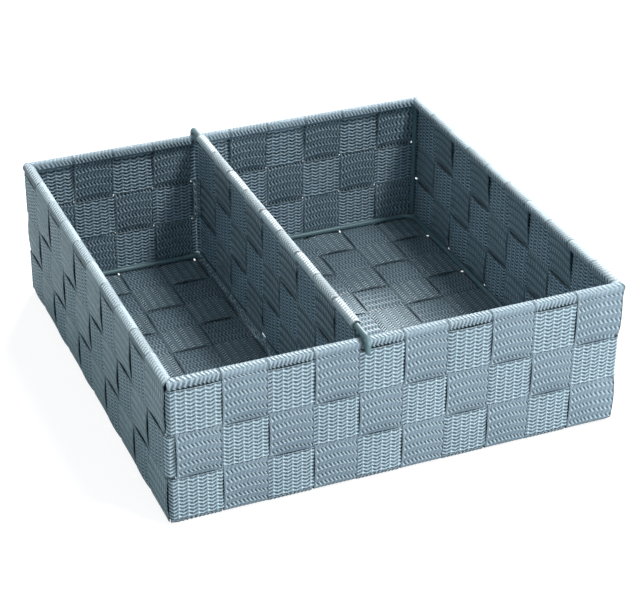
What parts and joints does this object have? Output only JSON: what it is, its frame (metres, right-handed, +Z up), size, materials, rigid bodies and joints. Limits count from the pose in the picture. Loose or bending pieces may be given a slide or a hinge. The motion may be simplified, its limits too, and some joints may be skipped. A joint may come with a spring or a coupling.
{
  "type": "storage bin",
  "caption": "Low square storage bin woven from flat webbing on a wire frame, with a woven divider hooked over its rims.",
  "frame": {"origin": "middle of the underside, on the surface that the bin stands on", "axes": "+Z up out of the open top, +X to the right, -Y towards the front wall, so the divider lies along Y"},
  "size_m": [0.3204, 0.3286, 0.1137],
  "materials": {
    "strap_webbing": "matte",
    "band_webbing": "matte",
    "divider_webbing": "matte",
    "coated_wire": "satin"
  },
  "bodies": {
    "basket": {"strap_front_back_01": "strap_webbing", "strap_front_back_02": "strap_webbing", "strap_front_back_03": "strap_webbing", "strap_front_back_04": "strap_webbing", "strap_front_back_05": "strap_webbing", "strap_front_back_06": "strap_webbing", "strap_front_back_07": "strap_webbing", "strap_front_back_08": "strap_webbing", "strap_front_back_09": "strap_webbing", "strap_front_back_10": "strap_webbing", "strap_left_right_01": "strap_webbing", "strap_left_right_02": "strap_webbing", "strap_left_right_03": "strap_webbing", "strap_left_right_04": "strap_webbing", "strap_left_right_05": "strap_webbing", "strap_left_right_06": "strap_webbing", "strap_left_right_07": "strap_webbing", "strap_left_right_08": "strap_webbing", "strap_left_right_09": "strap_webbing", "strap_left_right_10": "strap_webbing", "wall_band_top": "band_webbing", "wall_band_middle": "band_webbing", "wall_band_bottom": "band_webbing", "rim_wire": "coated_wire", "floor_ring_wire": "coated_wire", "corner_post_front_left": "coated_wire", "corner_post_front_right": "coated_wire", "corner_post_back_right": "coated_wire", "corner_post_back_left": "coated_wire"},
    "divider": {"divider_top_wire": "coated_wire", "divider_lower_wire": "coated_wire", "divider_strap_1": "divider_webbing", "divider_strap_2": "divider_webbing", "divider_strap_3": "divider_webbing", "divider_strap_4": "divider_webbing", "divider_strap_5": "divider_webbing", "divider_strap_6": "divider_webbing", "divider_strap_7": "divider_webbing", "divider_strap_8": "divider_webbing", "divider_strap_9": "divider_webbing", "divider_band_top": "divider_webbing", "divider_band_middle": "divider_webbing", "divider_band_bottom": "divider_webbing"}
  },
  "joints": [
    {"name": "divider_slide", "type": "slide", "parent": "basket", "child": "divider", "axis": [1, 0, 0], "range_m": [-0.113, 0.167]}
  ]
}
